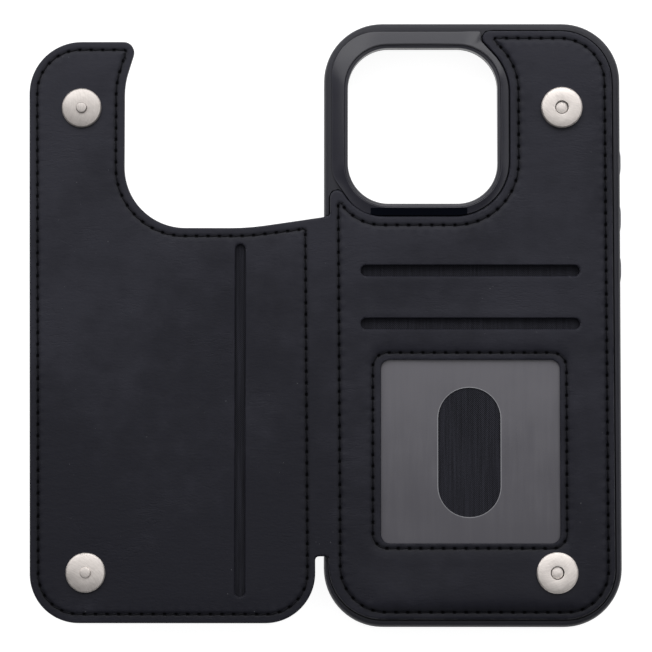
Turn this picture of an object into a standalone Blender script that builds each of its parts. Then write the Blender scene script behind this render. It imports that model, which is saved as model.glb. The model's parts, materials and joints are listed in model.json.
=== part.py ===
"""Phone wallet case, lying open.

The phone shell lies face down, with a card wallet on its back and a hinged flap at its left.

Plain numbers below are millimetres, laid out from the middle of the shell: +X is right, +Y is
towards the camera end and +Z is up, out of the shell's back. The empty "phone_wallet_case"
moves the whole layout so that the middle of its box is the origin.
"""

import math

import bmesh
import bpy
from mathutils import Euler, Vector

MM = 0.001

# The phone shell: a tray that opens downwards, with a recess in its back for the wallet.
SHELL_WIDTH = 75.4
SHELL_LENGTH = 153.5
SHELL_CORNER = 14.8
SHELL_EDGE = 1.1  # rounding of the outer edges
SHELL_WALL = 1.95
RIM_TOP = 12.3
SEAT_TOP = 11.1  # the recess's floor, on which the wallet is glued
RECESS_GAP = 0.3
GUARD_GAP = 0.15
CAVITY_LOW, CAVITY_HIGH = 1.5, 9.7
LIP_REACH = 0.9  # how far the front lip covers the phone's edge
SPINE_RELIEF_TOP = 11.7  # the rim is lower where the spine passes over it
CAMERA_HOLE = (-31.6, 30.4, 6.4, 70.1)  # left, bottom, right, top
CAMERA_HOLE_CORNER = 10.3
PORTS = {"charging": (0.0, 13.0, 6.4), "speaker": (16.5, 12.0, 3.0), "microphone": (-14.0, 6.0, 3.0)}
PORT_HEIGHT = 5.6  # every port and button is centred at this height

# The buttons: middle along Y, length, and the side that they are on.
BUTTONS = {
    "action_button": (41.5, 7.0, 1),
    "volume_up_button": (27.2, 7.3, 1),
    "volume_down_button": (14.1, 7.0, 1),
    "side_button": (20.0, 10.5, -1),
}
BUTTON_WIDTH = 2.9
BUTTON_PROUD = 0.6
BUTTON_GAP = 0.15
BUTTON_EDGE = 0.25
FLANGE_SPREAD = 0.7  # the flange is wider than the cap by this all round
FLANGE_LOW, FLANGE_HIGH = 0.2, 0.75  # outwards from the wall's inner face
FLANGE_RECESS = 0.9

# The layers, from the shell's back to the leather's top, with glue lines between them.
BACKING = (11.2, 11.6)
REAR_LINING = (11.7, 12.0)
FRONT_LINING = (12.1, 12.35)
FILM = (12.42, 12.6)
FACE = (12.7, 13.5)
FLAP_OUTER = (10.7, 11.4)
FLAP_BOARD = (11.5, 11.95)
FLAP_LINING = (12.05, 12.25)
FLAP_INNER = (12.5, 13.2)
SPINE_OUTER = (12.1, 12.65)
SPINE_INNER = (12.8, 13.35)
THREAD_WIDTH, THREAD_HEIGHT, THREAD_GAP = 0.4, 0.2, 0.04

# The two folds, at the same height and the same distance from the spine's middle.
SPINE_X = -38.3
FOLD_HALF = 2.0
FOLD_Z = 12.75
SPINE_LOW, SPINE_HIGH = -58.7, 26.6
SKIN_GAP = 0.15  # the outer skin stops this far from each fold
SLOT_OF_FOLD = 0.65  # the inner leather stops this far from each fold, so that it can close
WALLET_STEP, FLAP_STEP = -35.5, -40.8  # where the stitched layers stop, beside the spine

# Outlines, counter-clockwise: each corner's x, y and rounding.
WALLET_LEFT = -36.4
WALLET = [
    (WALLET_LEFT, -74.7, 13.6),
    (35.85, -74.7, 12.5),
    (35.4, 74.5, 13.0),
    (0.35, 74.5, 1.8),
    (9.55, 64.5, 14.5),
    (9.55, 27.1, 14.0),
    (-28.6, 27.1, 12.0),
    (-36.1, 37.7, 1.8),
]
WALLET_SEAM = [
    (-33.45, -72.95, 11.6),
    (34.1, -72.95, 10.5),
    (33.6, 72.6, 11.4),
    (5.2, 72.6, 0.35),
    (11.75, 65.36, 16.0),
    (11.75, 24.9, 16.0),
    (-29.4, 24.9, 12.5),
    (-34.05, 31.4, 0.35),
]
GUARD = [
    (-28.6, 27.4, 9.65),
    (9.25, 27.4, 13.7),
    (9.25, 64.4, 14.2),
    (2.2, 72.0, 1.0),
    (2.2, 74.5, 0.5),
    (-35.8, 74.5, 11.7),
    (-35.8, 37.8, 8.0),
]
GUARD_LOW, GUARD_TOP, GUARD_EDGE = 11.2, 13.8, 0.5
FLAP_LEFT, FLAP_RIGHT, FLAP_BOTTOM, FLAP_TOP = -111.75, -39.8, -75.7, 71.75
FLAP_INSIDE = [  # the corners that the open flap turns away from the spine
    (-57.0, 24.2, 60.0),
    (-88.4, 24.25, 15.6),
    (-88.4, 61.2, 20.0),
    (-85.1, FLAP_TOP, 2.6),
    (-112.7, FLAP_TOP, 13.2),
    (FLAP_LEFT, FLAP_BOTTOM, 12.4),
]
FLAP = FLAP_INSIDE + [
    (FLAP_RIGHT, FLAP_BOTTOM, 12.6),
    (FLAP_RIGHT, SPINE_LOW - 0.2, 0.3),
    (FLAP_STEP, SPINE_LOW - 0.2, 0.3),
    (FLAP_STEP, 26.15, 0.5),
]
FLAP_SEAM = [
    (-109.6, -73.45, 10.2),
    (-41.7, -73.45, 10.4),
    (-42.4, 23.95, 0.35),
    (-56.9, 22.1, 62.0),
    (-90.55, 22.15, 17.5),
    (-90.55, 61.3, 22.0),
    (-87.9, 69.65, 0.5),
    (-110.7, 69.65, 11.0),
]
CARD_SLOT_WIDTH = 2.8
CARD_SLOTS = {"upper": 13.3, "lower": -0.15}  # the two slots' middles
CARD_SLOT_LEFT, CARD_SLOT_RIGHT = -28.35, 27.1
FLAP_SLOT = (-60.15, -69.0, -57.55, 20.1)
WINDOW = (-23.25, -55.6, 22.0, -9.25)
WINDOW_CORNER = 2.3
WINDOW_SEAM = (-25.3, -56.9, 23.65, -7.5)
WINDOW_SEAM_CORNER = 3.7
FILM_MARGIN = 2.2
THUMB_SLOT = (-8.8, -49.0, 7.0, -16.3)
LINING_INSET = 0.6
LINING_CORNER = 11.5
REAR_LINING_TOP, FRONT_LINING_TOP = 18.0, 3.4
BOARD_INSET = 1.0
POCKET_INSET = 1.0
POCKET_CORNER, POCKET_SMALL_CORNER = 11.0, 2.0
POCKET_PAST_SLOT = 4.0  # how far the flap's pocket lining runs past its slot

# The magnetic snaps: each pair's distance from the spine's middle, and its y.
SNAPS = {"upper": (60.95, 54.75), "lower": (59.4, -63.0)}
SOCKET_RADIUS, SOCKET_HEIGHT, SOCKET_WALL, SOCKET_BEVEL = 5.2, 1.7, 0.4, 0.35
SOCKET_HOLE = 1.7
SOCKET_POST_RADIUS, SOCKET_POST_DEPTH = 1.38, 1.0
STUD_RADIUS, STUD_HEIGHT, STUD_BEVEL = 5.0, 0.9, 0.35
NUB_RADIUS, NUB_HEIGHT, NUB_BEVEL = 1.4, 0.8, 0.3
STEM_RADIUS, STEM_HOLE = 0.9, 1.05
WASHER_RADIUS, WASHER_HEIGHT = 4.2, 0.13
SNAP_GAP = 0.05
SOCKET_PLATE = 0.3
STEM_GAP = 0.02

LEATHER = ((0.030, 0.030, 0.036), 0.48, 0.0)
TPU = ((0.026, 0.026, 0.031), 0.55, 0.0)
GLOSS = ((0.040, 0.040, 0.046), 0.30, 0.0)
WOVEN = ((0.020, 0.020, 0.026), 0.85, 0.0)
THREAD = ((0.008, 0.008, 0.010), 0.70, 0.0)
FROSTED = ((0.100, 0.098, 0.110), 0.45, 0.0)
NICKEL = ((0.70, 0.66, 0.62), 0.22, 1.0)
STEEL = ((0.45, 0.45, 0.46), 0.35, 1.0)
FERRITE = ((0.05, 0.05, 0.05), 0.60, 0.3)
FIBREBOARD = ((0.30, 0.22, 0.14), 0.90, 0.0)


def clear_scene():
    for obj in list(bpy.data.objects):
        bpy.data.objects.remove(obj, do_unlink=True)


def new_collection(name, hidden):
    collection = bpy.data.collections.new(name)
    collection.hide_render = hidden
    bpy.context.scene.collection.children.link(collection)
    return collection


def new_empty(name, place, parent):
    empty = bpy.data.objects.new(name, None)
    empty.location = [value * MM for value in place]
    empty.parent = parent
    empty.empty_display_size = 0.01
    parts.objects.link(empty)
    return empty


def material(name, look):
    colour, roughness, metallic = look
    made = bpy.data.materials.new(name)
    made.use_nodes = True
    shader = made.node_tree.nodes["Principled BSDF"]
    shader.inputs["Base Color"].default_value = (*colour, 1)
    shader.inputs["Roughness"].default_value = roughness
    shader.inputs["Metallic"].default_value = metallic
    made.diffuse_color = (*colour, 1)
    return made


def finish(obj, look, parent=None):
    """Gives a part its material, and hangs it on an empty without moving it."""
    obj.data.materials.clear()
    obj.data.materials.append(material(obj.name, look))
    if parent is not None:
        obj.parent = parent
        obj.matrix_parent_inverse = parent.matrix_world.inverted() @ whole.matrix_world
    return obj


def rounded(corners):
    """The points of an outline whose corners are rounded by arcs."""
    points = []
    for index, (x, y, radius) in enumerate(corners):
        corner = Vector((x, y))
        before = (Vector(corners[index - 1][:2]) - corner).normalized()
        after = (Vector(corners[(index + 1) % len(corners)][:2]) - corner).normalized()
        if radius <= 0:
            points.append(corner)
            continue
        half = before.angle(after) / 2
        centre = corner + (before + after).normalized() * radius / math.sin(half)
        start = corner + before * radius / math.tan(half) - centre
        turn = start.angle_signed(corner + after * radius / math.tan(half) - centre)
        steps = max(2, math.ceil(abs(math.degrees(turn)) / (18 if radius < 3 else 10)))
        for step in range(steps + 1):
            angle = -turn * step / steps
            cosine, sine = math.cos(angle), math.sin(angle)
            turned_start = (start.x * cosine - start.y * sine, start.x * sine + start.y * cosine)
            points.append(centre + Vector(turned_start))
    return [(point.x, point.y) for point in points]


def grown(corners, distance):
    """The same outline moved outwards by a distance, or inwards where it is negative."""
    moved = []
    for index, (x, y, radius) in enumerate(corners):
        corner = Vector((x, y))
        along = (corner - Vector(corners[index - 1][:2])).normalized()
        onward = (Vector(corners[(index + 1) % len(corners)][:2]) - corner).normalized()
        first, second = Vector((along.y, -along.x)), Vector((onward.y, -onward.x))
        place = corner + (first + second) * distance / (1 + first.dot(second))
        convex = along.cross(onward) > 0
        moved.append((place.x, place.y, max(0.25, radius + (distance if convex else -distance))))
    return moved


def rectangle(box, radius):
    left, bottom, right, top = box
    return [(left, bottom, radius), (right, bottom, radius), (right, top, radius), (left, top, radius)]


def stadium(box):
    """A rectangle with round ends, a little short of a half circle so that its corners stay apart."""
    left, bottom, right, top = box
    return rectangle(box, min(right - left, top - bottom) / 2 * 0.98)


def shell_outline(inset):
    half_width, half_length = SHELL_WIDTH / 2 - inset, SHELL_LENGTH / 2 - inset
    return rectangle((-half_width, -half_length, half_width, half_length), SHELL_CORNER - inset)


def circle(x, y, radius, sides=32):
    angles = [2 * math.pi * step / sides for step in range(sides)]
    return [(x + radius * math.cos(angle), y + radius * math.sin(angle)) for angle in angles]


def plate(name, loops, low, high, place=(0, 0, 0), turn=(0, 0, 0), collection=None):
    """A flat solid from low to high along its own Z: its outline, then its holes."""
    curve = bpy.data.curves.new(name, "CURVE")
    curve.dimensions = "2D"
    curve.fill_mode = "BOTH"
    curve.extrude = (high - low) / 2 * MM
    for loop in loops:
        spline = curve.splines.new("POLY")
        spline.points.add(len(loop) - 1)
        for point, (x, y) in zip(spline.points, loop):
            point.co = (x * MM, y * MM, 0, 1)
        spline.use_cyclic_u = True
    outline = bpy.data.objects.new(name + "_outline", curve)
    parts.objects.link(outline)
    graph = bpy.context.evaluated_depsgraph_get()
    mesh = bpy.data.meshes.new_from_object(outline.evaluated_get(graph))
    bpy.data.objects.remove(outline, do_unlink=True)
    work = bmesh.new()
    work.from_mesh(mesh)
    bmesh.ops.remove_doubles(work, verts=work.verts, dist=0.000001)
    bmesh.ops.translate(work, verts=work.verts, vec=(0, 0, (low + high) / 2 * MM))
    bmesh.ops.recalc_face_normals(work, faces=work.faces)
    work.to_mesh(mesh)
    work.free()
    obj = bpy.data.objects.new(name, mesh)
    obj.location = [value * MM for value in place]
    obj.rotation_euler = Euler([math.radians(value) for value in turn])
    obj.parent = whole
    (collection or parts).objects.link(obj)
    return obj


def bevel(obj, width, segments=2):
    """Rounds the sharp edges of a solid."""
    modifier = obj.modifiers.new("Rounded edges", "BEVEL")
    modifier.width = width * MM
    modifier.segments = segments
    modifier.limit_method = "ANGLE"
    modifier.angle_limit = math.radians(50)
    modifier.use_clamp_overlap = True
    return obj


def combine(obj, other, operation="DIFFERENCE"):
    other.hide_render = True
    other.display_type = "WIRE"
    modifier = obj.modifiers.new(other.name, "BOOLEAN")
    modifier.operation = operation
    modifier.solver = "EXACT"
    modifier.object = other


def cutter(name, loops, low, high, place=(0, 0, 0), turn=(0, 0, 0)):
    return plate(name, loops, low, high, place, turn, cutters)


def turned(name, profile, place, look, parent=None, steps=32):
    """A solid of revolution. The profile runs down its outer side, from the axis to the axis."""
    mesh = bpy.data.meshes.new(name)
    edges = [(index, index + 1) for index in range(len(profile) - 1)]
    mesh.from_pydata([(radius * MM, 0, height * MM) for radius, height in profile], edges, [])
    obj = bpy.data.objects.new(name, mesh)
    obj.location = [value * MM for value in place]
    obj.parent = whole
    parts.objects.link(obj)
    screw = obj.modifiers.new("Turned", "SCREW")
    screw.axis = "Z"
    screw.angle = 2 * math.pi
    screw.steps = screw.render_steps = steps
    screw.use_merge_vertices = True
    screw.merge_threshold = 0.000001
    return finish(obj, look, parent)


def turned_ring(name, profile, place, look, parent=None):
    """A ring turned from a closed profile, which runs down the outer side and up the inner one."""
    return turned(name, profile + profile[:1], place, look, parent)


def side_turn(side):
    """Turns a plate so that its own Z points out of the shell's right (1) or left (-1) side."""
    return (90, 0, 90) if side > 0 else (90, 0, -90)


def button_outline(length, spread):
    half_length, half_width = length / 2 + spread, BUTTON_WIDTH / 2 + spread
    return rounded(stadium((-half_length, -half_width, half_length, half_width)))


def make_phone_shell():
    shell = bevel(plate("phone_shell", [rounded(shell_outline(0))], 0, RIM_TOP), SHELL_EDGE, 3)
    cavity = cutter("phone_cavity", [rounded(shell_outline(SHELL_WALL))], CAVITY_LOW, CAVITY_HIGH)
    combine(shell, bevel(cavity, 0.6, 1))
    front = rounded(shell_outline(SHELL_WALL + LIP_REACH))
    combine(shell, cutter("front_opening", [front], -1, CAVITY_LOW + 1))
    combine(shell, cutter("wallet_recess", [rounded(grown(WALLET, RECESS_GAP))], SEAT_TOP, RIM_TOP + 2))
    combine(shell, cutter("guard_recess", [rounded(grown(GUARD, GUARD_GAP))], SEAT_TOP, RIM_TOP + 2))
    hole = rounded(rectangle(CAMERA_HOLE, CAMERA_HOLE_CORNER))
    combine(shell, cutter("camera_opening", [hole], CAVITY_HIGH - 2, RIM_TOP + 2))
    relief = (-SHELL_WIDTH / 2 - 2, SPINE_LOW - 0.6, WALLET_LEFT + 1, SPINE_HIGH + 1.0)
    combine(shell, cutter("spine_relief", [rounded(rectangle(relief, 0))], SPINE_RELIEF_TOP, RIM_TOP + 2))
    for name, (middle, length, width) in PORTS.items():
        outline = rounded(stadium((-length / 2, -width / 2, length / 2, width / 2)))
        place = (middle, -SHELL_LENGTH / 2, PORT_HEIGHT)
        combine(shell, cutter(name + "_port", [outline], -4, 2, place, (90, 0, 0)))
    for name, (middle, length, side) in BUTTONS.items():
        place = (side * (SHELL_WIDTH / 2 - SHELL_WALL), middle, PORT_HEIGHT)
        slot = [button_outline(length, BUTTON_GAP)]
        combine(shell, cutter(name + "_slot", slot, -1, SHELL_WALL + 1, place, side_turn(side)))
        seat = [button_outline(length, FLANGE_SPREAD + 2 * BUTTON_GAP)]
        combine(shell, cutter(name + "_seat", seat, -1, FLANGE_RECESS, place, side_turn(side)))
    return finish(shell, TPU)


def make_buttons():
    for name, (middle, length, side) in BUTTONS.items():
        place = (side * (SHELL_WIDTH / 2 - SHELL_WALL), middle, PORT_HEIGHT)
        high = SHELL_WALL + BUTTON_PROUD
        cap = plate(name, [button_outline(length, 0)], FLANGE_LOW + 0.2, high, place, side_turn(side))
        bevel(cap, BUTTON_EDGE, 2)
        outline = [button_outline(length, FLANGE_SPREAD)]
        flange = cutter(name + "_flange", outline, FLANGE_LOW, FLANGE_HIGH, place, side_turn(side))
        combine(cap, flange, "UNION")
        finish(cap, TPU)


def make_camera_guard():
    hole = rectangle(CAMERA_HOLE, CAMERA_HOLE_CORNER)
    guard = plate("camera_guard", [rounded(GUARD), rounded(hole)], GUARD_LOW, GUARD_TOP)
    finish(bevel(guard, GUARD_EDGE), GLOSS)


def stepped_wallet():
    """The wallet's outline, with its left side set back beside the spine so that the spine can stand up."""
    low, high = SPINE_LOW - 0.2, SPINE_HIGH + 0.7
    step = [(WALLET_LEFT, high), (WALLET_STEP, high), (WALLET_STEP, low), (WALLET_LEFT, low)]
    return WALLET + [(x, y, 0.3) for x, y in step]


def below(top):
    """The part of the wallet below a line, as an outline for a pocket lining."""
    inset = LINING_INSET
    return [
        (WALLET_STEP + inset, WALLET[0][1] + inset, LINING_CORNER),
        (WALLET[1][0] - inset, WALLET[1][1] + inset, LINING_CORNER),
        (WALLET[2][0] - inset, top, 1.0),
        (WALLET_STEP + inset, top, 1.0),
    ]


def snap_places(side):
    """The name, x and y of each snap on the case's side (1) or the flap's side (-1) of the spine."""
    return [(name, SPINE_X + side * distance, y) for name, (distance, y) in SNAPS.items()]


def make_wallet():
    outline = rounded(stepped_wallet())
    finish(plate("wallet_backing", [outline], *BACKING), WOVEN)
    finish(plate("rear_pocket_lining", [rounded(below(REAR_LINING_TOP))], *REAR_LINING), WOVEN)
    finish(plate("front_pocket_lining", [rounded(below(FRONT_LINING_TOP))], *FRONT_LINING), WOVEN)
    film = rounded(grown(rectangle(WINDOW, WINDOW_CORNER), FILM_MARGIN))
    finish(plate("id_window_film", [film, rounded(stadium(THUMB_SLOT))], *FILM), FROSTED)
    holes = [rounded(rectangle(WINDOW, WINDOW_CORNER))]
    for middle in CARD_SLOTS.values():
        half = CARD_SLOT_WIDTH / 2
        holes.append(rounded(stadium((CARD_SLOT_LEFT, middle - half, CARD_SLOT_RIGHT, middle + half))))
    holes += [circle(x, y, STEM_HOLE, 16) for _, x, y in snap_places(1)]
    finish(plate("wallet_face", [outline] + holes, *FACE), LEATHER)


def thread_ring(name, corners, leather_top, parent=None):
    """The run of a seam's thread, as one thin ring on the leather."""
    half = THREAD_WIDTH / 2
    low = leather_top + THREAD_GAP
    loops = [rounded(grown(corners, half)), rounded(grown(corners, -half))]
    finish(plate(name, loops, low, low + THREAD_HEIGHT), THREAD, parent)


def make_threads():
    window = rectangle(WINDOW_SEAM, WINDOW_SEAM_CORNER)
    thread_ring("wallet_thread", WALLET_SEAM, FACE[1])
    thread_ring("window_thread", window, FACE[1])
    thread_ring("flap_thread", FLAP_SEAM, FLAP_INNER[1], flap_fold)


def make_sockets():
    seat = FACE[1] + SNAP_GAP
    top = FACE[1] + SOCKET_HEIGHT
    inner = SOCKET_RADIUS - SOCKET_WALL
    for name, x, y in snap_places(1):
        ceiling = top - SOCKET_WALL
        turned_ring(
            name + "_socket_cover",
            [
                (SOCKET_RADIUS - SOCKET_BEVEL, top),
                (SOCKET_RADIUS, top - SOCKET_BEVEL),
                (SOCKET_RADIUS, seat),
                (inner, seat),
                (inner, ceiling),
                (SOCKET_HOLE, ceiling),
                (SOCKET_HOLE, top),
            ],
            (x, y, 0),
            NICKEL,
        )
        plate_top = seat + SOCKET_PLATE
        post_top = top - SOCKET_POST_DEPTH
        turned(
            name + "_socket_base",
            [
                (0, post_top),
                (SOCKET_POST_RADIUS, post_top),
                (SOCKET_POST_RADIUS, plate_top),
                (inner - 0.1, plate_top),
                (inner - 0.1, seat),
                (STEM_RADIUS, seat),
                (STEM_RADIUS, FACE[0] - STEM_GAP),
                (0, FACE[0] - STEM_GAP),
            ],
            (x, y, 0),
            NICKEL,
        )
        low, high, hole = plate_top + SNAP_GAP, ceiling - SNAP_GAP, SOCKET_HOLE + 0.3
        ring = [(inner - 0.15, high), (inner - 0.15, low), (hole, low), (hole, high)]
        turned_ring(name + "_socket_magnet", ring, (x, y, 0), FERRITE)
        make_washer(name + "_socket_washer", x, y, FACE[0], None)


def make_washer(name, x, y, leather_low, parent):
    high = leather_low - SNAP_GAP
    low = high - WASHER_HEIGHT
    profile = [(0, high), (WASHER_RADIUS, high), (WASHER_RADIUS, low), (0, low)]
    turned(name, profile, (x, y, 0), STEEL, parent, 24)


def make_studs():
    seat = FLAP_INNER[1] + SNAP_GAP
    top = FLAP_INNER[1] + STUD_HEIGHT
    for name, x, y in snap_places(-1):
        disc = [
            (STUD_RADIUS - STUD_BEVEL, top),
            (STUD_RADIUS, top - STUD_BEVEL),
            (STUD_RADIUS, seat),
            (STEM_HOLE, seat),
            (STEM_HOLE, top),
        ]
        turned_ring(name + "_stud_disc", disc, (x, y, 0), NICKEL, flap_fold)
        low = top + SNAP_GAP
        nub = [
            (0, low + NUB_HEIGHT),
            (NUB_RADIUS - NUB_BEVEL, low + NUB_HEIGHT),
            (NUB_RADIUS, low + NUB_HEIGHT - NUB_BEVEL),
            (NUB_RADIUS, low),
            (STEM_RADIUS, low),
            (STEM_RADIUS, FLAP_INNER[0] - STEM_GAP),
            (0, FLAP_INNER[0] - STEM_GAP),
        ]
        turned(name + "_stud_nub", nub, (x, y, 0), NICKEL, flap_fold)
        make_washer(name + "_stud_washer", x, y, FLAP_INNER[0], flap_fold)


def make_spine():
    left, right = SPINE_X - FOLD_HALF, SPINE_X + FOLD_HALF

    def strip(name, gap, layer):
        corners = [
            (left + gap, SPINE_LOW, 0.3),
            (right - gap, SPINE_LOW, 0.3),
            (right - gap, SPINE_HIGH, 0.3),
            (left + gap, SPINE_HIGH - 0.4, 0.3),
        ]
        finish(plate(name, [rounded(corners)], *layer), LEATHER, spine_fold)

    strip("spine_outer_leather", SKIN_GAP, SPINE_OUTER)
    strip("spine_inner_leather", SLOT_OF_FOLD, SPINE_INNER)


def make_flap():
    outline = rounded(FLAP)
    finish(plate("flap_outer_leather", [outline], *FLAP_OUTER), LEATHER, flap_fold)
    finish(plate("flap_board", [rounded(grown(FLAP, -BOARD_INSET))], *FLAP_BOARD), FIBREBOARD, flap_fold)
    left, low = FLAP_LEFT + POCKET_INSET, FLAP_BOTTOM + POCKET_INSET
    right, high = FLAP_SLOT[2] + POCKET_PAST_SLOT, FLAP_SLOT[3] + POCKET_PAST_SLOT / 2
    pocket = rectangle((left, low, right, high), POCKET_SMALL_CORNER)
    pocket[0] = (left, low, POCKET_CORNER)
    finish(plate("flap_pocket_lining", [rounded(pocket)], *FLAP_LINING), WOVEN, flap_fold)
    holes = [rounded(stadium(FLAP_SLOT))] + [circle(x, y, STEM_HOLE, 16) for _, x, y in snap_places(-1)]
    finish(plate("flap_inner_leather", [outline] + holes, *FLAP_INNER), LEATHER, flap_fold)


clear_scene()
parts = new_collection("phone_wallet_case", False)
cutters = new_collection("cutters", True)
box_left = min(x for x, _ in rounded(FLAP))
box_right = SHELL_WIDTH / 2 + BUTTON_PROUD
whole = new_empty("phone_wallet_case", (-(box_left + box_right) / 2, 0, 0), None)
spine_fold = new_empty("spine_fold_axis", (SPINE_X + FOLD_HALF, 0, FOLD_Z), whole)
flap_fold = new_empty("flap_fold_axis", (SPINE_X - FOLD_HALF, 0, FOLD_Z), whole)
bpy.context.view_layer.update()
make_phone_shell()
make_buttons()
make_camera_guard()
make_wallet()
make_threads()
make_sockets()
make_spine()
make_flap()
make_studs()
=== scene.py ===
import json
import math

import bmesh
import bpy
import numpy as np
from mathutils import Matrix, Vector, geometry, kdtree, noise


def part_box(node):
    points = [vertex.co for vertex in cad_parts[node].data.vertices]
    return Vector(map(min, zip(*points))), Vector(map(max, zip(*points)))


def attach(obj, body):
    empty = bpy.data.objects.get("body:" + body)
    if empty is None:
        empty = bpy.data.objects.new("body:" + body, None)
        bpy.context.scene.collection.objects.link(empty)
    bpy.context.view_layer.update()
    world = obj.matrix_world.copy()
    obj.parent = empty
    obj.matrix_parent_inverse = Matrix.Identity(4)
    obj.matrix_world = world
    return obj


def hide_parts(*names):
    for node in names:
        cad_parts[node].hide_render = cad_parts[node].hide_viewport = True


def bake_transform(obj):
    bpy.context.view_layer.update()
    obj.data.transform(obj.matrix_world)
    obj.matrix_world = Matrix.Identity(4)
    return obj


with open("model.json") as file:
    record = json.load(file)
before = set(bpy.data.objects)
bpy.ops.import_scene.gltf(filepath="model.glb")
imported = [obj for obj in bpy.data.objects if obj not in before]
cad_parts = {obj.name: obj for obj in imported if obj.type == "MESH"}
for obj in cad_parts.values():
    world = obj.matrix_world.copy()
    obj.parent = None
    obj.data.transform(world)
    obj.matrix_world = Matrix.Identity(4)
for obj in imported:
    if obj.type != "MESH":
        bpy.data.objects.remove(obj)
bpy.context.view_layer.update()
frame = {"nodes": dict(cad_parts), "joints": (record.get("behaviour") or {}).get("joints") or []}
nodes = frame["nodes"]
mm = 0.001

# Everything below is laid out in millimetres from the middle of the phone shell, as seen with the
# wallet's back up; the frame says where that middle is and how high each layer lies.
shellLow, shellHigh = (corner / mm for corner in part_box("phone_shell"))
middleX = (shellLow.x + shellHigh.x) / 2
shellHalf = Vector(((shellHigh.x - shellLow.x) / 2, (shellHigh.y - shellLow.y) / 2))
rimTop = shellHigh.z


def levels(node):
    low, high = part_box(node)
    return low.z / mm, high.z / mm


def centreOf(node):
    low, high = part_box(node)
    middle = (low + high) / 2 / mm
    return np.array((middle.x - middleX, middle.y))


spineX = centreOf("spine_outer_leather")[0]
joints = {joint["name"]: joint for joint in frame["joints"]}
caseFoldX = joints["spine_fold"]["pos_m"][0] / mm - middleX
flapFoldX = joints["flap_fold"]["pos_m"][0] / mm - middleX
faceLow, faceTop = levels("wallet_face")
innerLow, innerTop = levels("flap_inner_leather")
outerLow, outerTop = levels("flap_outer_leather")
skinLow, skinTop = levels("spine_outer_leather")

strapStart, strapEnd = -58.9, 26.9  # the ends of the strap across the spine


def rounded(corners):
    points = []
    for index, (x, y, radius) in enumerate(corners):
        corner = Vector((x, y))
        if radius <= 0:
            points.append(corner)
            continue
        before = (Vector(corners[index - 1][:2]) - corner).normalized()
        after = (Vector(corners[(index + 1) % len(corners)][:2]) - corner).normalized()
        half = before.angle(after) / 2
        centre = corner + (before + after).normalized() * radius / math.sin(half)
        start = corner + before * radius / math.tan(half) - centre
        turn = -start.angle_signed(corner + after * radius / math.tan(half) - centre)
        steps = max(3, math.ceil(abs(math.degrees(turn)) / (12 if radius < 3 else 4)))
        for angle in np.linspace(0, turn, steps + 1):
            cosine, sine = math.cos(angle), math.sin(angle)
            x, y = start.x * cosine - start.y * sine, start.x * sine + start.y * cosine
            points.append(centre + Vector((x, y)))
    return np.array([(point.x, point.y) for point in points])


def grown(corners, distance):
    moved = []
    for index, (x, y, radius) in enumerate(corners):
        corner = Vector((x, y))
        along = (corner - Vector(corners[index - 1][:2])).normalized()
        onward = (Vector(corners[(index + 1) % len(corners)][:2]) - corner).normalized()
        first, second = Vector((along.y, -along.x)), Vector((onward.y, -onward.x))
        place = corner + (first + second) * distance / (1 + first.dot(second))
        change = distance if along.cross(onward) > 0 else -distance
        moved.append((place.x, place.y, max(0.3, radius + change)))
    return moved


def rectangle(box, radius):
    left, bottom, right, top = box
    return [(left, bottom, radius), (right, bottom, radius), (right, top, radius), (left, top, radius)]


def stadium(box):
    return rectangle(box, min(box[2] - box[0], box[3] - box[1]) / 2 * 0.98)


def shellOutline(inset):
    x, y = shellHalf.x - inset, shellHalf.y - inset
    return rectangle((-x, -y, x, y), shell["corner"] - inset)


# A closed loop as evenly spaced points, with the unit normals that point into it.
def spaced(loop, count, shift=0.0):
    ends = np.roll(loop, -1, 0)
    lengths = np.concatenate([[0], np.cumsum(np.linalg.norm(ends - loop, axis=1))])
    where = (np.arange(count) + shift) / count * lengths[-1]
    closed = np.vstack([loop, loop[:1]])
    points = np.stack([np.interp(where, lengths, closed[:, axis]) for axis in (0, 1)], 1)
    tangents = np.roll(points, -1, 0) - np.roll(points, 1, 0)
    tangents /= np.linalg.norm(tangents, axis=1)[:, None]
    return points, np.stack([-tangents[:, 1], tangents[:, 0]], 1)


def loopLength(loop):
    return float(np.linalg.norm(np.roll(loop, -1, 0) - loop, axis=1).sum())


def resampled(loop, step, keepCorners=()):
    points = spaced(loop, max(8, round(loopLength(loop) / step)))[0]
    for corner in keepCorners:
        points[np.argmin(((points - corner) ** 2).sum(1))] = corner
    return points


def inside(points, loop):
    ends = np.roll(loop, -1, 0)
    result = np.zeros(len(points), bool)
    for (x1, y1), (x2, y2) in zip(loop, ends):
        if y1 == y2:
            continue
        crosses = (points[:, 1] >= min(y1, y2)) & (points[:, 1] < max(y1, y2))
        result ^= crosses & (points[:, 0] < x1 + (points[:, 1] - y1) * (x2 - x1) / (y2 - y1))
    return result


# The distance to a loop and how far along it the nearest point lies. Segments on the line x = skipX
# don't count.
def toLoop(points, loop, skipX=None):
    starts, ends = loop, np.roll(loop, -1, 0)
    lengths = np.linalg.norm(ends - starts, axis=1)
    begin = np.concatenate([[0], np.cumsum(lengths)[:-1]])
    keep = lengths > 1e-9
    if skipX is not None:
        keep &= ~((abs(starts[:, 0] - skipX) < 0.02) & (abs(ends[:, 0] - skipX) < 0.02))
    starts, ends, lengths, begin = starts[keep], ends[keep], lengths[keep], begin[keep]
    distance, along = np.empty(len(points)), np.empty(len(points))
    for first in range(0, len(points), 2000):
        part = points[first : first + 2000, None]
        share = np.clip(((part - starts) * (ends - starts)).sum(2) / lengths**2, 0, 1)
        gaps = np.linalg.norm(part - starts - share[..., None] * (ends - starts), axis=2)
        best = gaps.argmin(1)
        row = np.arange(len(best))
        distance[first : first + 2000] = gaps[row, best]
        along[first : first + 2000] = begin[best] + share[row, best] * lengths[best]
    return distance, along


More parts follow.
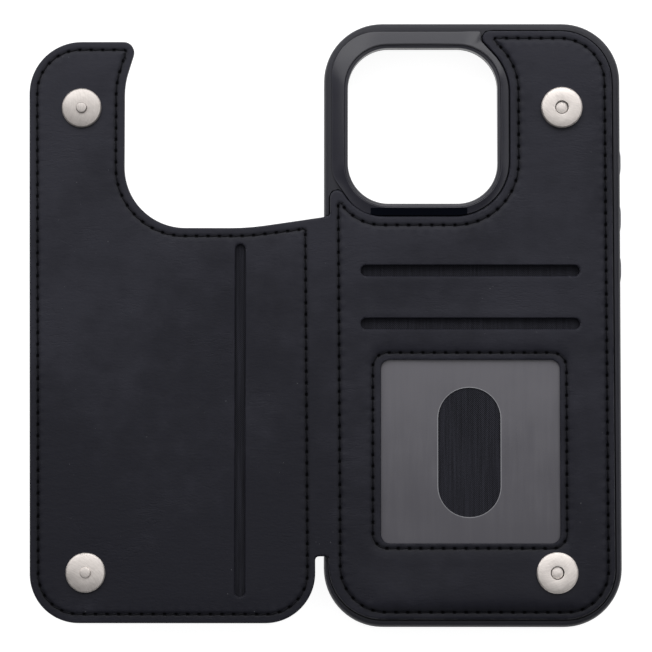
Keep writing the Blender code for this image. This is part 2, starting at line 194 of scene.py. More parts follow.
def smooth(value, low, high):
    share = np.clip((value - low) / (high - low), 0, 1)
    return share * share * (3 - 2 * share)


# How far a surface drops within a rounding of its edge.
def edgeRoll(distance, radius):
    inward = np.clip(radius - distance, 0, radius)
    return radius - np.sqrt(radius**2 - inward**2)


def drift(points, size, seed):
    return np.array([noise.noise(Vector((x / size, y / size, seed))) for x, y in points])


def newObject(name, mesh, material):
    obj = bpy.data.objects.new(name, mesh)
    bpy.context.scene.collection.objects.link(obj)
    mesh.materials.clear()
    mesh.materials.append(material)
    return obj


# Layout millimetres to metres in the row frame.
def rowFrame(points):
    return (np.asarray(points, float) + (middleX, 0, 0)) * mm


def meshOf(name, points, faces, sharp=35):
    mesh = bpy.data.meshes.new(name)
    mesh.from_pydata(rowFrame(points).tolist(), [], [list(map(int, face)) for face in faces])
    mesh.validate()
    work = bmesh.new()
    work.from_mesh(mesh)
    bmesh.ops.remove_doubles(work, verts=work.verts, dist=1e-7)
    bmesh.ops.recalc_face_normals(work, faces=work.faces)
    work.to_mesh(mesh)
    work.free()
    mesh.shade_smooth()
    mesh.set_sharp_from_angle(angle=math.radians(sharp))
    return mesh


# Joins equal loops of 3-D points. ringProfile joins the last loop to the first one.
def loftMesh(name, loops, ringProfile=False, sharp=35):
    loops = [np.asarray(loop, float) for loop in loops]
    count = len(loops[0])
    faces = []
    for index in range(len(loops) if ringProfile else len(loops) - 1):
        low, high = index * count, (index + 1) % len(loops) * count
        for step in range(count):
            onward = (step + 1) % count
            faces.append((low + step, low + onward, high + onward, high + step))
    if not ringProfile:
        faces.append(tuple(range(count))[::-1])
        faces.append(tuple(range((len(loops) - 1) * count, len(loops) * count)))
    return meshOf(name, np.concatenate(loops), faces, sharp)


def lifted(points, height):
    return np.column_stack([points, np.broadcast_to(height, len(points))])


def flatLoop(corners, height, count):
    return lifted(spaced(rounded(corners), count)[0], height)


def turnedMesh(name, profile, place, ringProfile=True, sides=96):
    angles = np.linspace(0, 2 * math.pi, sides, endpoint=False)
    circle = np.column_stack([np.cos(angles), np.sin(angles)])
    loops = [lifted(place + radius * circle, height) for radius, height in profile]
    return loftMesh(name, loops, ringProfile, sharp=30)


# A line of stitches: its path, and its true pitch once a whole number of stitches fits.
def seamOf(corners, pitch):
    path = rounded(corners)
    length = loopLength(path)
    count = round(length / pitch)
    return {"path": path, "count": count, "pitch": length / count}


# The distance across a seam, positive on its inner side, and 1 at each hole down to -1 between two.
def seamField(points, seam):
    distance, along = toLoop(points, seam["path"])
    across = np.where(inside(points, seam["path"]), distance, -distance)
    return across, np.cos(2 * math.pi * along / seam["pitch"])


# How a seam shapes the leather: a crease, a pit at each hole, and a soft rise between two holes.
def seamDip(across, wave, groove=0.16, pit=0.34, scallop=0.13):
    hole = np.clip((wave - 0.2) / 0.8, 0, 1) ** 2
    dip = groove * np.exp(-((across / 0.34) ** 2)) + pit * hole * np.exp(-((across / 0.34) ** 2))
    rise = scallop * (0.5 - 0.5 * wave) * np.exp(-(((across - 0.95) / 0.6) ** 2))
    return rise - dip


sheet = {
    "edgeLines": (0.15, 0.45, 1.0, 1.7),  # lines of points inside an edge, as shares of its rounding
    "seamLines": (-1.3, -0.85, -0.5, -0.22, 0, 0.22, 0.5, 0.85, 1.3, 1.8),  # and across a seam, in mm
    "edgeStep": 0.55,
    "lineMargin": 0.03,
    "lineGap": 0.16,
    "gridMargin": 0.5,
    "gridGap": 0.62,
}


# A closed sheet of leather: fine triangles inside the outline, at heights from two functions.
def sheetMesh(name, outline, holes, seams, grid, top, bottom, skipX=None, roll=0.45):
    loops = [outline] + holes
    fixed, edges = [], []
    for loop in loops:
        first = len(fixed)
        fixed += [tuple(point) for point in loop]
        edges += [(first + step, first + (step + 1) % len(loop)) for step in range(len(loop))]
    guides = []
    for loop in loops:
        points, normals = spaced(loop, round(loopLength(loop) / sheet["edgeStep"]))
        if loop is not outline:
            normals = -normals
        guides += [points + normals * roll * share for share in sheet["edgeLines"]]
    for seam in seams:
        points, normals = spaced(seam["path"], seam["count"] * 6)
        guides += [points + normals * across for across in sheet["seamLines"]]
    low, high = outline.min(0), outline.max(0)
    lattice = []
    for row, y in enumerate(np.arange(low[1], high[1], grid * 0.866)):
        lattice.append(np.array([(x, y) for x in np.arange(low[0] + grid / 2 * (row % 2), high[0], grid)]))

    def within(points, margin):
        points = points[inside(points, outline)]
        for hole in holes:
            points = points[~inside(points, hole)]
        return points[np.minimum.reduce([toLoop(points, loop, skipX)[0] for loop in loops]) > margin]

    kept, taken = list(fixed), set()
    for point in within(np.concatenate(guides), sheet["lineMargin"]):
        key = tuple(np.round(point / sheet["lineGap"]).astype(int))
        if key not in taken:
            taken.add(key)
            kept.append(tuple(point))
    tree = kdtree.KDTree(len(kept))
    for index, point in enumerate(kept):
        tree.insert((*point, 0), index)
    tree.balance()
    points = within(np.concatenate(lattice), grid * sheet["gridMargin"])
    kept += [tuple(point) for point in points if tree.find((*point, 0))[2] > grid * sheet["gridGap"]]
    flat, _, triangles, *_ = geometry.delaunay_2d_cdt([Vector(point) for point in kept], edges, [], 0, 1e-6)
    flat = np.array([tuple(point) for point in flat])
    triangles = np.array([tuple(face) for face in triangles])
    centres = flat[triangles].mean(1)
    keep = inside(centres, outline)
    for hole in holes:
        keep &= ~inside(centres, hole)
    triangles = triangles[keep]
    used, triangles = np.unique(triangles, return_inverse=True)
    flat, triangles = flat[used], triangles.reshape(-1, 3)
    start = flat[triangles[:, 0]]
    first, second = flat[triangles[:, 1]] - start, flat[triangles[:, 2]] - start
    turned = first[:, 0] * second[:, 1] - first[:, 1] * second[:, 0] < 0
    triangles[turned] = triangles[turned][:, ::-1]
    sides = np.concatenate([triangles[:, [0, 1]], triangles[:, [1, 2]], triangles[:, [2, 0]]])
    known = {tuple(side) for side in sides.tolist()}
    rim = [side for side in known if side[::-1] not in known]
    count = len(flat)
    points = np.vstack([lifted(flat, top(flat)), lifted(flat, bottom(flat))])
    faces = triangles.tolist() + (triangles[:, ::-1] + count).tolist()
    faces += [(b, a, a + count, b + count) for a, b in rim]
    mesh = bpy.data.meshes.new(name)
    mesh.from_pydata(rowFrame(points).tolist(), [], faces)
    across, wave = np.full(count * 2, 9.0), np.full(count * 2, -1.0)
    for seam in seams:
        values = seamField(flat, seam)
        nearer = abs(values[0]) < abs(across[:count])
        across[:count][nearer], wave[:count][nearer] = abs(values[0][nearer]), values[1][nearer]
    for key, values in (("seamAcross", across), ("seamWave", wave)):
        mesh.attributes.new(key, "FLOAT", "POINT").data.foreach_set("value", values.astype(np.float32))
    mesh.validate()
    mesh.shade_smooth()
    mesh.set_sharp_from_angle(angle=math.radians(42))
    return mesh


# A socket of a material's node tree that takes part in sums.
class Value:
    def __init__(self, graph, socket):
        self.graph, self.socket = graph, socket

    def math(self, operation, *others):
        return self.graph.node("ShaderNodeMath", {"operation": operation}, dict(enumerate((self, *others))))

    def __add__(self, other):
        return self.math("ADD", other)

    __radd__ = __add__

    def __sub__(self, other):
        return self.math("SUBTRACT", other)

    def __rsub__(self, other):
        return self.graph.node("ShaderNodeMath", {"operation": "SUBTRACT"}, {0: other, 1: self})

    def __mul__(self, other):
        return self.math("MULTIPLY", other)

    __rmul__ = __mul__

    # 0 at low and 1 at high, with a soft step between them.
    def clamp(self, low, high):
        inputs = {"Value": self, "From Min": low, "From Max": high}
        return self.graph.node("ShaderNodeMapRange", {"interpolation_type": "SMOOTHSTEP"}, inputs)


# A material under construction.
class Finish:
    def __init__(self, name, colour, roughness, metallic=0.0, **extra):
        self.material = bpy.data.materials.new(name)
        self.material.use_nodes = True
        self.tree = self.material.node_tree
        self.shader = self.tree.nodes["Principled BSDF"]
        self.set("Base Color", (*colour, 1))
        self.set("Roughness", roughness)
        self.set("Metallic", metallic)
        for key, value in extra.items():
            self.set(key, value)

    sockets = {"specular": "Specular IOR Level", "coat": "Coat Weight", "coatRoughness": "Coat Roughness"}

    def set(self, key, value):
        key = self.sockets.get(key, key)
        if isinstance(value, Value):
            self.tree.links.new(value.socket, self.shader.inputs[key])
        else:
            self.shader.inputs[key].default_value = value

    def node(self, kind, settings=None, inputs=None, output=0):
        made = self.tree.nodes.new(kind)
        for key, value in (settings or {}).items():
            setattr(made, key, value)
        for key, value in (inputs or {}).items():
            if isinstance(value, Value):
                self.tree.links.new(value.socket, made.inputs[key])
            else:
                made.inputs[key].default_value = value
        return Value(self, made.outputs[output])

    # Object coordinates in millimetres, stretched and turned.
    def place(self, stretch=(1, 1, 1), turn=(0, 0, 0), middle=(0, 0, 0)):
        coordinates = self.node("ShaderNodeTexCoord", output="Object")
        return self.node("ShaderNodeMapping", {"vector_type": "TEXTURE"}, {
            "Vector": coordinates,
            "Location": [value * mm for value in middle],
            "Rotation": [math.radians(value) for value in turn],
            "Scale": [mm * value for value in stretch],
        })

    def noise(self, place, size, detail=2.0, roughness=0.5):
        inputs = {"Vector": place, "Scale": 1 / size, "Detail": detail, "Roughness": roughness}
        return self.node("ShaderNodeTexNoise", {}, inputs, "Fac")

    def attribute(self, name):
        return self.node("ShaderNodeAttribute", {"attribute_name": name}, {}, "Fac")

    def parts(self, vector):
        split = self.tree.nodes.new("ShaderNodeSeparateXYZ")
        self.tree.links.new(vector.socket, split.inputs[0])
        return [Value(self, socket) for socket in split.outputs]

    def mix(self, factor, first, second):
        colours = [value if isinstance(value, Value) else (*value, 1) for value in (first, second)]
        inputs = {0: factor, 6: colours[0], 7: colours[1]}
        return self.node("ShaderNodeMix", {"data_type": "RGBA"}, inputs, 2)

    # Bends the light as a surface of this height in millimetres would.
    def bump(self, height):
        inputs = {"Height": height, "Distance": mm, "Strength": 1.0}
        self.set("Normal", self.node("ShaderNodeBump", {}, inputs))

    # Mixes a second, plain surface in where the factor is 1.
    def under(self, factor, colour, roughness, specular):
        second = self.tree.nodes.new("ShaderNodeBsdfPrincipled")
        second.inputs["Base Color"].default_value = (*colour, 1)
        second.inputs["Roughness"].default_value = roughness
        second.inputs["Specular IOR Level"].default_value = specular
        mixed = self.tree.nodes.new("ShaderNodeMixShader")
        self.tree.links.new(factor.socket, mixed.inputs[0])
        self.tree.links.new(self.shader.outputs[0], mixed.inputs[1])
        self.tree.links.new(second.outputs[0], mixed.inputs[2])
        self.tree.links.new(mixed.outputs[0], self.tree.nodes["Material Output"].inputs[0])


leatherLook = {
    "colour": (0.0105, 0.0106, 0.0162),
    # worn: the paler colour of random wear patches, and also the top end of the painted light falloff
    "worn": (0.0205, 0.0206, 0.0288),
    "paintedLightFalloff": 0.0022,  # painted light: the leather is a little paler towards the camera end, for each millimetre, standing in for the light falling off towards the bottom
    # hole: near-black, painted shade put in the stitch holes and along the seams
    "hole": (0.0008, 0.0008, 0.0012),
    "speck": (0.12, 0.12, 0.13),
    "specular": 0.15,
    "roughness": 0.46,
    "cells": 0.020, "fine": 0.012, "folds": 0.045, "lines": 0.020,  # heights of the grain
}


def leatherFinish(name, seams=True):
    look = leatherLook
    finish = Finish(name, look["colour"], look["roughness"], specular=look["specular"])
    flat = finish.place()
    grain = finish.place(stretch=(1.8, 1, 1))
    cells = finish.node(
        "ShaderNodeTexVoronoi", {"feature": "SMOOTH_F1"},
        {"Vector": grain, "Scale": 1 / 0.55, "Smoothness": 0.6}, "Distance",
    )
    fine = finish.noise(grain, 0.30, 3.0)
    folds = finish.noise(finish.place(stretch=(4.0, 1, 1)), 1.3, 4.0, 0.6)
    veins = (finish.noise(finish.place(stretch=(3.2, 1, 1)), 2.6, 4.0, 0.65) - 0.5).math("ABSOLUTE")
    lines = 1 - (veins * 22).math("MINIMUM", 1)
    broad = finish.noise(flat, 26.0, 3.0)
    patches = finish.noise(flat, 5.0, 4.0, 0.6)
    worn = finish.noise(flat, 13.0, 2.0).clamp(0.46, 0.66)
    _, y, _ = finish.parts(flat)
    # Painted light: the y term makes the leather paler towards the camera end and darker towards the
    # bottom; broad and patches vary the tone at random.
    tone = (broad * 0.65 + patches * 0.35 + y * look["paintedLightFalloff"]).clamp(0.34, 0.68)
    colour = finish.mix(tone, look["colour"], look["worn"])
    height = cells * look["cells"] + fine * look["fine"] + folds * look["folds"]
    height = height - look["lines"] * lines * worn
    rough = look["roughness"] - 0.07 + 0.10 * patches + 0.10 * cells
    specks = finish.noise(flat, 0.5, 0.0).clamp(0.875, 0.89)
    specks = specks * finish.noise(flat, 9.0, 1.0).clamp(0.52, 0.60)
    colour = finish.mix(specks, colour, look["speck"])
    # Painted shade: the hole colour goes into each stitch hole and along the seam's groove, and a soft band
    # beside the seam is darkened towards it, standing in for the shadow in these hollows; the holes also
    # hold the ends of the black thread.
    if seams:
        across = finish.attribute("seamAcross")
        wave = finish.attribute("seamWave")
        hole = (1 - across.clamp(0.24, 0.48)) * wave.clamp(0.30, 0.75)
        line = (1 - across.clamp(0.10, 0.24)) * 0.75
        dark = hole.math("MAXIMUM", line)
        finish.under(dark, look["hole"], 0.8, 0.05)
        paintedSeamShade = (1 - across.clamp(0.3, 1.1)) * 0.35
        colour = finish.mix(paintedSeamShade, colour, look["hole"])
    finish.set("Base Color", colour)
    finish.set("Roughness", rough)
    finish.bump(height)
    return finish.material


def mouldedFinish(name, colour, roughness, specular=0.5, grain=0.004, coat=0.0):
    finish = Finish(name, colour, roughness, specular=specular, coat=coat, coatRoughness=0.12)
    flat = finish.place()
    fine = finish.noise(flat, 0.16, 2.0)
    broad = finish.noise(flat, 7.0, 3.0)
    finish.set("Base Color", finish.mix(broad.clamp(0.3, 0.7), colour, [value * 1.22 for value in colour]))
    finish.set("Roughness", roughness - 0.05 + 0.10 * broad + 0.06 * fine)
    finish.bump(fine * grain)
    return finish


guard = {
    "corners": [
        (-28.6, 27.4, 9.65), (9.25, 27.4, 13.7), (9.25, 64.4, 14.2),
        (2.2, 72.0, 1.0), (2.2, 74.5, 0.5), (-35.8, 74.5, 11.7),
        (-35.8, 37.8, 8.0),
    ],
    "opening": (-31.6, 30.4, 6.4, 70.1),
    "openingCorner": 10.3,
    "bar": (-25.85, -1.3, 27.2, 29.3),  # the gloss strip below the opening: left, right, low, high
    "satin": (0.0160, 0.0158, 0.0225),
    "light": (0.0205, 0.0202, 0.0285),
    "gloss": (0.0010, 0.0016, 0.0042),
    "roughness": 0.20,
    "crest": 1.15,
}


def guardFinish():
    finish = mouldedFinish("guardSatin", guard["satin"], 0.33, 0.40, 0.0015)
    x, y, z = finish.parts(finish.place(middle=(middleX, 0, 0)))
    left, right, low, high = guard["bar"]
    middle, half = (left + right) / 2, (right - left) / 2
    across = 1 - (x - middle).math("ABSOLUTE").clamp(half - 0.06, half + 0.06)
    up = y.clamp(low - 0.1, low) * (1 - y.clamp(high - 0.05, high + 0.05))
    bar = across * up * z.clamp(12.2, 12.3)
    broad = finish.noise(finish.place(), 7.0, 3.0)
    finish.set("Base Color", finish.mix(broad, guard["satin"], guard["light"]))
    finish.set("Roughness", guard["roughness"] + 0.05 * broad)
    finish.under(bar, guard["gloss"], 0.12, 0.12)
    return finish.material


nickelLook = {"dull": (0.60, 0.555, 0.525), "bright": (0.78, 0.725, 0.69), "offCentre": 9}


# The last argument scales both nickel colours: painted light, making one snap darker or brighter than
# another.
def nickelFinish(name, place, seed, paintedLightScale):
    dull, bright = ([value * paintedLightScale for value in nickelLook[tone]] for tone in ("dull", "bright"))
    finish = Finish(name, bright, 0.42, 1.0)
    aside = nickelLook["offCentre"]
    middle = (middleX + place[0] + aside * math.cos(seed), place[1] + aside * math.sin(seed), 0)
    x, y, _ = finish.parts(finish.place(middle=middle))
    radius = (x * x + y * y).math("SQRT")
    rings = finish.node("ShaderNodeCombineXYZ", {}, {0: radius, 1: x * 0.06, 2: y * 0.06})
    brushed = finish.noise(rings, 0.22, 3.0, 0.65)
    fine = finish.noise(finish.place(stretch=(1, 6, 1), turn=(0, 0, 50)), 0.20, 2.0)
    broad = finish.noise(finish.place(), 2.2, 3.0)
    tone = (brushed * 0.45 + fine * 0.25 + broad * 0.30).clamp(0.32, 0.68)
    finish.set("Base Color", finish.mix(tone, dull, bright))
    finish.set("Roughness", 0.34 + 0.14 * brushed + 0.06 * broad)
    finish.bump(brushed * 0.006 + fine * 0.004)
    return finish.material


# Steel, board and thread: a streaky grain mixes the two colours.
def grainFinish(name, look, metallic=0.0, uneven=0.0):
    finish = Finish(name, look["dark"], look["roughness"], metallic, specular=look["specular"])
    grain = finish.noise(finish.place(stretch=look["stretch"], turn=(0, 0, look["turn"])), *look["grain"])
    finish.set("Base Color", finish.mix(grain, look["dark"], look["light"]))
    if uneven:
        finish.set("Roughness", look["roughness"] - uneven / 2 + uneven * grain)
    finish.bump(grain * look["relief"])
    return finish.material


threadLook = {
    "dark": (0.0015, 0.0015, 0.0025), "light": (0.006, 0.006, 0.009), "roughness": 0.7, "specular": 0.12,
    "stretch": (4, 1, 1), "turn": 30, "grain": (0.12, 2.0), "relief": 0.02,
}
boardLook = {
    "dark": (0.22, 0.16, 0.10), "light": (0.36, 0.28, 0.19), "roughness": 0.9, "specular": 0.5,
    "stretch": (1, 5, 1), "turn": 0, "grain": (0.5, 5.0, 0.7), "relief": 0.03,
}
steelLook = {
    "dark": (0.45, 0.45, 0.46), "light": (0.36, 0.36, 0.368), "roughness": 0.35, "specular": 0.5,
    "stretch": (8, 1, 1), "turn": 0, "grain": (0.25, 3.0), "relief": 0.006,
}
ferriteLook = dict(steelLook, dark=(0.05, 0.05, 0.05), light=(0.04, 0.04, 0.04), roughness=0.6)


def wovenFinish(name, colour, light, pitch=0.50):
    finish = Finish(name, colour, 0.86, specular=0.2)
    x, y, _ = finish.parts(finish.place())
    turn = 2 * math.pi / pitch
    over = (x * turn).math("SINE") * (y * turn).math("SINE")
    fuzz = finish.noise(finish.place(), 0.15, 2.0)
    slubs = finish.noise(finish.place(stretch=(1, 30, 1)), 0.5, 2.0)
    tone = over * 0.42 + 0.42 + (fuzz - 0.5) * 0.3 + (slubs - 0.5) * 0.7
    finish.set("Base Color", finish.mix(tone.clamp(0.1, 0.9), colour, light))
    finish.bump(over * 0.05 + fuzz * 0.02)
    return finish.material


film = {
    "slot": (-8.8, -49.0, 7.0, -16.3),
    "dark": (0.070, 0.067, 0.079),
    "light": (0.112, 0.108, 0.122),
    "edge": (0.36, 0.36, 0.38),
    "paintedLightFalloff": 0.010,  # painted light: paler towards the camera end, for each millimetre, standing in for the light falling off towards the bottom
}


def filmFinish():  # lighter along the cut edge of the thumb slot
    finish = Finish("frostedFilm", film["light"], 0.42, specular=0.4)
    left, bottom, right, top = film["slot"]
    radius = (right - left) / 2
    x, y, _ = finish.parts(finish.place(middle=(middleX + (left + right) / 2, (bottom + top) / 2, 0)))
    beyond = (y.math("ABSOLUTE") - ((top - bottom) / 2 - radius)).math("MAXIMUM", 0)
    gap = (x * x + beyond * beyond).math("SQRT") - radius
    edge = 1 - gap.clamp(0.12, 0.26)
    broad = finish.noise(finish.place(), 14.0, 3.0)
    streaks = finish.noise(finish.place(stretch=(1, 14, 1)), 1.2, 3.0)
    fine = finish.noise(finish.place(), 0.3, 2.0)
    # Painted light: the y term makes the film paler towards the camera end and darker towards the bottom.
    tone = (broad * 0.5 + streaks * 0.3 + fine * 0.2 + y * film["paintedLightFalloff"]).clamp(0.2, 0.8)
    body = finish.mix(tone, film["dark"], film["light"])
    finish.set("Base Color", finish.mix(edge * 0.6, body, film["edge"]))
    finish.set("Roughness", 0.38 + 0.12 * fine)
    finish.bump(fine * 0.004)
    return finish.material


leather = leatherFinish("blackLeather")
skin = leatherFinish("blackLeatherOuter", seams=False)
moulded = mouldedFinish("softMoulding", (0.0135, 0.0136, 0.0190), 0.48, 0.30).material
buttonSatin = mouldedFinish("buttonSatin", (0.024, 0.030, 0.048), 0.28, 0.6, 0.002, coat=0.3).material
guardSatin = guardFinish()
lining = wovenFinish("wovenLining", (0.0030, 0.0031, 0.0048), (0.0330, 0.0333, 0.0450))
frosted = filmFinish()
thread = grainFinish("stitchThread", threadLook)
board = grainFinish("fibreboard", boardLook)
steel = grainFinish("plainSteel", steelLook, 1.0, 0.12)
ferrite = grainFinish("ferrite", ferriteLook, 0.3, 0.12)
print("materials ready")


# Outlines, counter-clockwise: each corner's x, y and rounding.
wallet = {
    "corners": [
        (-36.4, -74.7, 13.6), (35.85, -74.7, 12.5), (35.4, 74.5, 13.0),
        (0.35, 74.5, 1.8), (9.55, 64.5, 14.5), (9.55, 27.1, 14.0),
        (-28.6, 27.1, 12.0), (-36.1, 37.7, 1.8),
    ],
    "seam": [
        (-33.45, -72.95, 11.6), (34.1, -72.95, 10.5), (33.6, 72.6, 11.4),
        (5.2, 72.6, 0.35), (11.75, 65.36, 16.0), (11.75, 24.9, 16.0),
        (-29.4, 24.9, 12.5), (-34.05, 31.4, 0.35),
    ],
    "spine": [(-36.1, 27.4, 0.6), (spineX, strapEnd, 0), (spineX, strapStart, 0), (-36.5, strapStart, 0.6)],
    "stitchPitch": 2.95,
    "puff": 0.46,
    "fill": 0.2,
    "slots": [(-28.35, 11.9, 27.1, 14.7), (-28.35, -1.55, 27.1, 1.25)],
    "window": (-23.25, -55.6, 22.0, -9.25),
    "windowCorner": 2.3,
    "windowSeam": (-25.3, -56.9, 23.65, -7.5),
    "windowSeamCorner": 3.7,
    "windowPitch": 2.85,
    "edgeRoll": 0.38, "slotRoll": 0.25, "windowRoll": 0.22,
    "swell": 0.12, "ripple": 0.05, "crease": 0.016,  # the leather's long waves, short ones and creases
    "ridge": 0.72,  # the fold of leather along the lower edge
    "grid": 1.15,
}
flap = {
    "corners": [
        (-111.75, -75.7, 12.4), (-39.75, -75.7, 12.6), (-39.95, 26.1, 0.5),
        (-57.0, 24.2, 60.0), (-88.4, 24.25, 15.6), (-88.4, 61.2, 20.0),
        (-85.1, 71.75, 2.6), (-112.7, 71.75, 13.2),
    ],
    "seam": [
        (-109.6, -73.45, 10.2), (-41.7, -73.45, 10.4), (-42.4, 23.95, 0.35),
        (-56.9, 22.1, 62.0), (-90.55, 22.15, 17.5), (-90.55, 61.3, 22.0),
        (-87.9, 69.65, 0.5), (-110.7, 69.65, 11.0),
    ],
    "spine": [(-39.85, strapStart, 0.9), (spineX, strapStart, 0), (spineX, strapEnd, 0)],
    "stitchPitch": 2.9,
    "puff": 0.30,
    "fill": 0.15,
    "slot": (-60.15, -69.0, -57.55, 20.1),
    "edgeRoll": 0.38, "slotRoll": 0.22, "swell": 0.12, "ripple": 0.035,
    "grid": 1.2,
}


def withSpine(piece, after):
    corners = piece["corners"]
    return corners[:after] + piece["spine"] + corners[after:]


walletSeam = seamOf(wallet["seam"], wallet["stitchPitch"])
windowCorners = rectangle(wallet["window"], wallet["windowCorner"])
windowSeam = seamOf(rectangle(wallet["windowSeam"], wallet["windowSeamCorner"]), wallet["windowPitch"])
strapCorners = [(spineX, strapStart), (spineX, strapEnd)]
walletOutline = resampled(rounded(withSpine(wallet, 8)), 0.5, strapCorners)
walletHoles = [resampled(rounded(stadium(slot)), 0.5) for slot in wallet["slots"]]
walletHoles.append(resampled(rounded(windowCorners), 0.5))
sockets = {name: centreOf(name + "_socket_cover") for name in ("upper", "lower")}
studs = {name: centreOf(name + "_stud_disc") for name in ("upper", "lower")}


# The leather is drawn down a little round each snap.
def snapDip(flat, places):
    dip = np.zeros(len(flat))
    for place in places.values():
        dip += 0.16 * np.exp(-((np.linalg.norm(flat - place, axis=1) / 7.0) ** 4))
    return dip


def walletTop(flat):
    edge = toLoop(flat, walletOutline, spineX)[0]
    slotEdges = np.minimum.reduce([toLoop(flat, hole)[0] for hole in walletHoles[:2]])
    windowEdge = toLoop(flat, walletHoles[2])[0]
    across, wave = seamField(flat, walletSeam)
    windowAcross, windowWave = seamField(flat, windowSeam)
    puff = wallet["puff"] * (1 - np.exp(-np.clip(across - 0.15, 0, None) / 1.5))
    puff = puff * smooth(-windowAcross, 0.0, 2.6)
    height = faceTop - 0.10 + puff
    height += seamDip(across, wave) + seamDip(-windowAcross, windowWave, 0.14, 0.30, 0.07)
    height += 0.10 * np.exp(-(((slotEdges - 1.0) / 1.1) ** 2))
    rolls = edgeRoll(edge, wallet["edgeRoll"]) + edgeRoll(slotEdges, wallet["slotRoll"])
    height -= rolls + edgeRoll(windowEdge, wallet["windowRoll"])
    height -= snapDip(flat, sockets)
    inward = smooth(across, 0.5, 5.0)
    height += (wallet["swell"] * drift(flat, 21, 1.7) + wallet["ripple"] * drift(flat, 6.5, 4.1)) * inward
    height += wallet["crease"] * drift(flat * (0.35, 1), 1.5, 8.8) * smooth(flat[:, 1], 2, 14) * inward
    x, y = flat.T
    fold = smooth(x, -29.5, -24.0) * (1 - smooth(x, 24.0, 29.5))
    ridge = smooth(y, -72.8, -70.6) * (1 - smooth(y, -69.5, -58.5))
    height += wallet["ridge"] * ridge * fold
    onSpine = smooth(-x, -(caseFoldX + 1.2), -(caseFoldX - 0.4))
    return height - 0.10 * onSpine * smooth(across, -1.5, -3.0)


def walletBottom(flat):
    edge = toLoop(flat, walletOutline, spineX)[0]
    x, y = flat.T
    beside = smooth(-x, 34.6, 35.4) * smooth(28.0 - y, 0, 1) * smooth(y + 59.5, 0, 1)  # over the strap
    return np.where((edge < 0.5) & (beside < 0.5), levels("wallet_backing")[1] + 0.05, faceLow + 0.02)


# A piece laid across a fold in its rest shape, attached to no body: reach gives where the bend starts and
# ends, but the points made from it are not used.
def bentPiece(name, mesh, material, foldX, reach, stoodFor=()):
    piece = newObject(name, mesh, material)
    start, end = (rowFrame((foldX + across, 0, 0)) for across in reach)
    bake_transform(piece)
    if stoodFor:
        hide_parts(*stoodFor)


def makeWalletLeather():
    mesh = sheetMesh(
        "wallet_leather", walletOutline, walletHoles, [walletSeam, windowSeam], wallet["grid"],
        walletTop, walletBottom, spineX,
    )
    stoodFor = ["wallet_face", "spine_inner_leather"]
    bentPiece("wallet_leather", mesh, leather, caseFoldX, (1.3, -1.3), stoodFor)


flapSeam = seamOf(flap["seam"], flap["stitchPitch"])
flapCorners = withSpine(flap, 2)[:-6] + flap["corners"][3:]
flapOutline = resampled(rounded(flapCorners), 0.5, strapCorners)
flapHole = resampled(rounded(stadium(flap["slot"])), 0.5)


def flapTop(flat):
    edge = toLoop(flat, flapOutline, spineX)[0]
    slotEdge = toLoop(flat, flapHole)[0]
    across, wave = seamField(flat, flapSeam)
    puff = flap["puff"] * (1 - np.exp(-np.clip(across - 0.15, 0, None) / 1.8))
    spineTop = levels("spine_inner_leather")[1]
    share = smooth(flat[:, 0], flapFoldX - 3.0, flapFoldX + 0.6)
    height = innerTop - 0.08 + share * (spineTop - innerTop) + puff * (1 - share)
    height = height + seamDip(across, wave, 0.13, 0.24, 0.08)
    height += 0.08 * np.exp(-(((slotEdge - 1.0) / 1.1) ** 2))
    height -= edgeRoll(edge, flap["edgeRoll"]) + edgeRoll(slotEdge, flap["slotRoll"]) + snapDip(flat, studs)
    inward = smooth(across, 0.5, 6.0)
    waves = flap["swell"] * drift(flat, 24, 9.3) + flap["ripple"] * drift(flat, 7.5, 2.9)
    return height + waves * inward


def flapBottom(flat):
    return np.full(len(flat), innerLow + 0.02)


def makeFlapLeather():
    mesh = sheetMesh(
        "flap_leather", flapOutline, [flapHole], [flapSeam], flap["grid"], flapTop, flapBottom, spineX,
    )
    stoodFor = ["flap_inner_leather"]
    bentPiece("flap_leather", mesh, leather, flapFoldX, (-1.3, 1.3), stoodFor)


outerSkin = {
    "wall": 0.95,
    "wallTop": innerLow - 0.05,
    "stepFrom": flapFoldX - 1.45,  # the step up from the flap's level to the spine's
    "stepTo": flapFoldX - 0.2,
    "grid": 1.6,
    "strip": [(spineX, strapStart, 0), (-35.2, strapStart, 0.3), (-35.2, 26.6, 0.3), (spineX, 26.6, 0)],
    "stripGrid": 1.2,
}


# Outside when the wallet is closed: a tray under the flap, and a strip across the spine.
def makeOuterSkins():
    def drop(flat, low, spineLow):
        return low + (spineLow - low) * smooth(flat[:, 0], outerSkin["stepFrom"], outerSkin["stepTo"])

    def top(flat):
        edge = toLoop(flat, flapOutline, spineX)[0]
        offSpine = 1 - smooth(flat[:, 0], flapFoldX - 1.5, flapFoldX - 0.9)
        wall = (edge < outerSkin["wall"]) * offSpine
        return drop(flat, outerTop, skinTop) + wall * (outerSkin["wallTop"] - outerTop)

    def bottom(flat):
        edge = toLoop(flat, flapOutline, spineX)[0]
        height = drop(flat, outerLow, skinLow) + edgeRoll(edge, 0.5)
        return height + 0.04 * drift(flat, 20, 5.5) * smooth(edge, 1, 6)

    mesh = sheetMesh("flap_outer_skin", flapOutline, [], [flapSeam], outerSkin["grid"], top, bottom, spineX)
    stoodFor = ["flap_outer_leather", "spine_outer_leather"]
    bentPiece("flap_outer_skin", mesh, skin, flapFoldX, (-1.3, 1.3), stoodFor)
    strip = resampled(rounded(outerSkin["strip"]), 0.5)
    mesh = sheetMesh(
        "spine_outer_skin", strip, [], [], outerSkin["stripGrid"],
        lambda flat: np.full(len(flat), skinTop), lambda flat: np.full(len(flat), skinLow), spineX, 0.2,
    )
    bentPiece("spine_outer_skin", mesh, skin, caseFoldX, (1.0, -1.3))


makeWalletLeather()
makeFlapLeather()
makeOuterSkins()
print("leather made")


